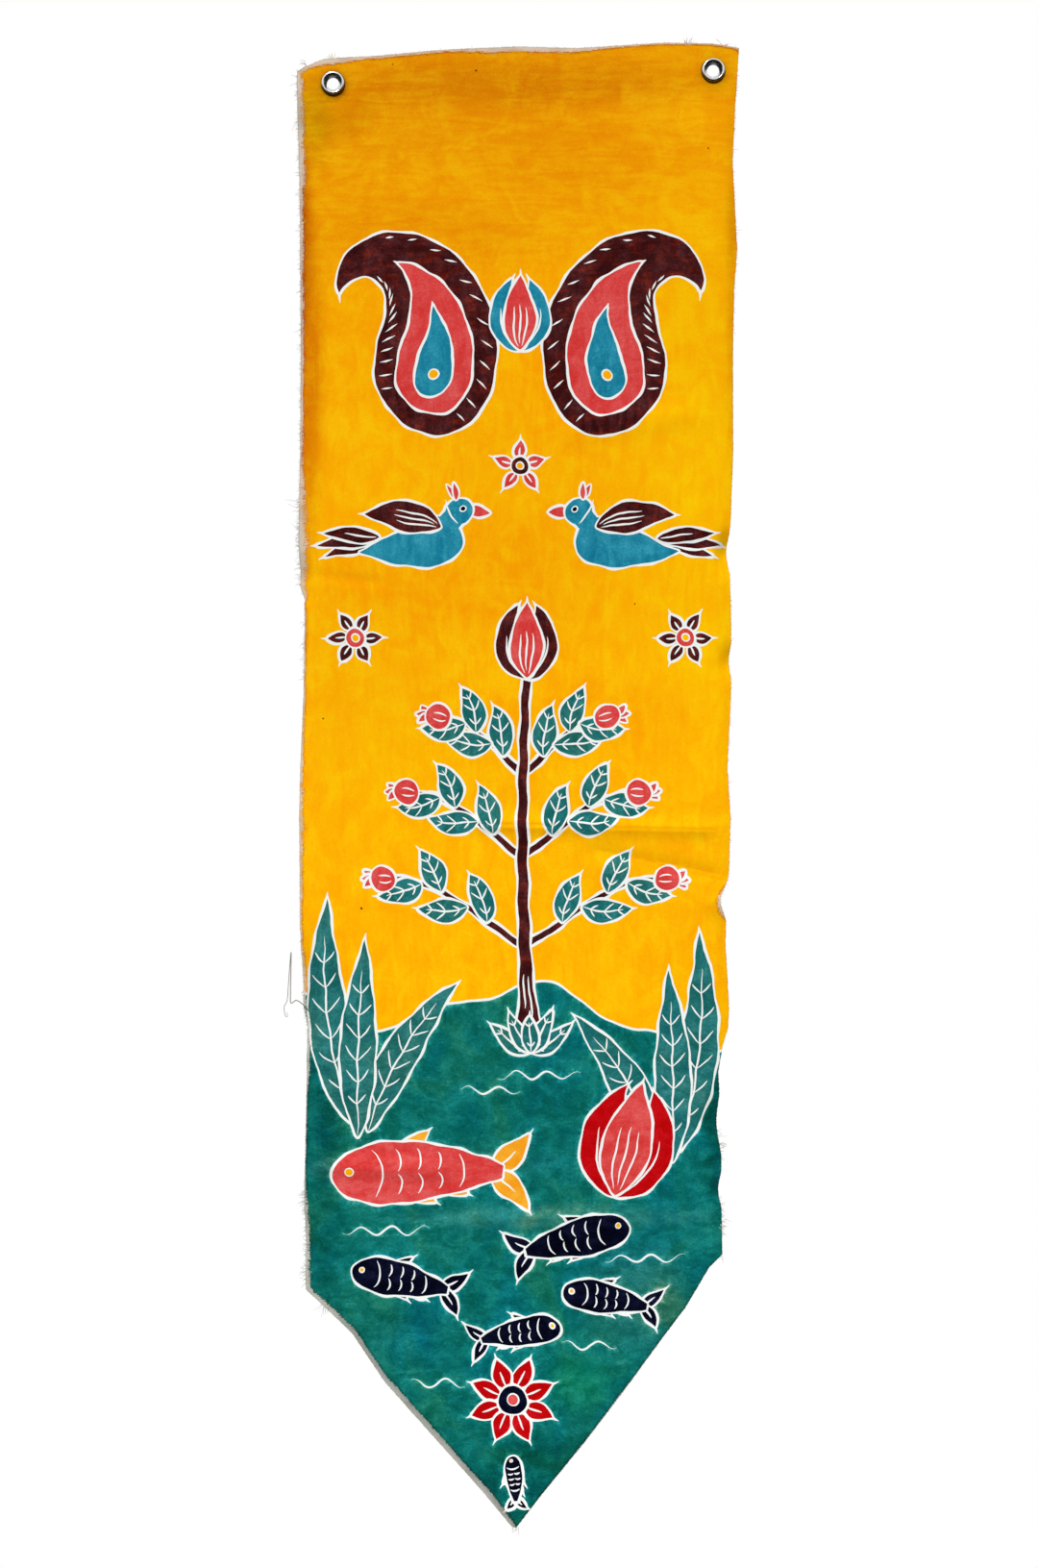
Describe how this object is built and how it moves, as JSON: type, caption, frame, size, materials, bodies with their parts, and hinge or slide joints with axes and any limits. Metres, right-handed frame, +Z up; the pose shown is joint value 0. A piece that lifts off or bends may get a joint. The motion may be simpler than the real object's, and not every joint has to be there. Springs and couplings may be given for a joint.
{
  "type": "fabric banner",
  "caption": "Long, narrow painted cotton banner with raw edges, a pointed foot and a metal eyelet in each top corner.",
  "frame": {"origin": "the middle of the raw top edge, in the plane of the flat cloth under the eyelets", "axes": "+Z up the hanging cloth, +X to the right seen from the front, +Y to the back; the painted front faces -Y"},
  "size_m": [0.46, 0.0213, 1.547],
  "materials": {
    "painted_heading": "matt orange paint on raw cotton",
    "painted_cotton": "matt yellow and green paint on raw cotton",
    "polished_nickel": "bright nickel plate"
  },
  "bodies": {
    "root": {"heading": "painted_heading", "cloth": "painted_cotton", "eyelet_left": "polished_nickel", "eyelet_right": "polished_nickel"}
  },
  "joints": []
}
